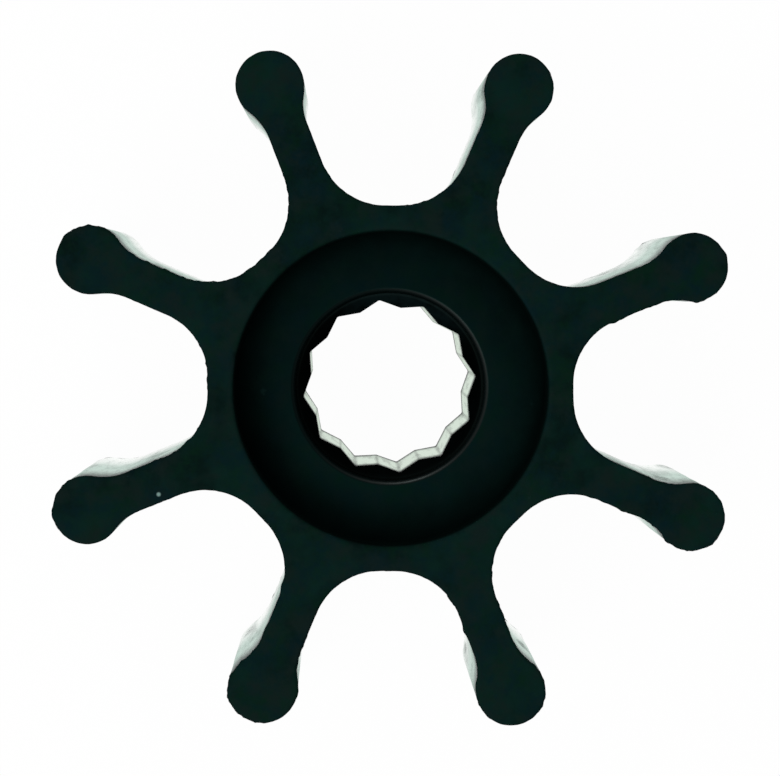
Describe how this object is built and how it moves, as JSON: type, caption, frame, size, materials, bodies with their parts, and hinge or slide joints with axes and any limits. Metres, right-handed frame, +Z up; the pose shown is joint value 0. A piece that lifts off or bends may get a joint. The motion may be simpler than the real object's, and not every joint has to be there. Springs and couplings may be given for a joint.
{
  "type": "rubber pump impeller",
  "caption": "Flexible rubber vane impeller: bulb-tipped vanes round a hub with a recess in each end and a splined insert; a pump shaft turns it to move water.",
  "frame": {"origin": "centre of the lower end face, on the shaft axis, so the impeller stands on it", "axes": "+Z up the shaft axis; +X and +Y each point through the middle of a gap between two vanes"},
  "size_m": [0.0606, 0.0606, 0.05],
  "materials": {
    "rubber": "satin moulded black rubber with a faint green cast, fine grain and small specks, thin ragged flash along a few edges",
    "insert": "smooth black moulded composite, a little glossier than the rubber, drawn lengthwise in the bore"
  },
  "bodies": {
    "root": {"rubber_body": "rubber", "hub_insert": "insert"}
  },
  "joints": []
}
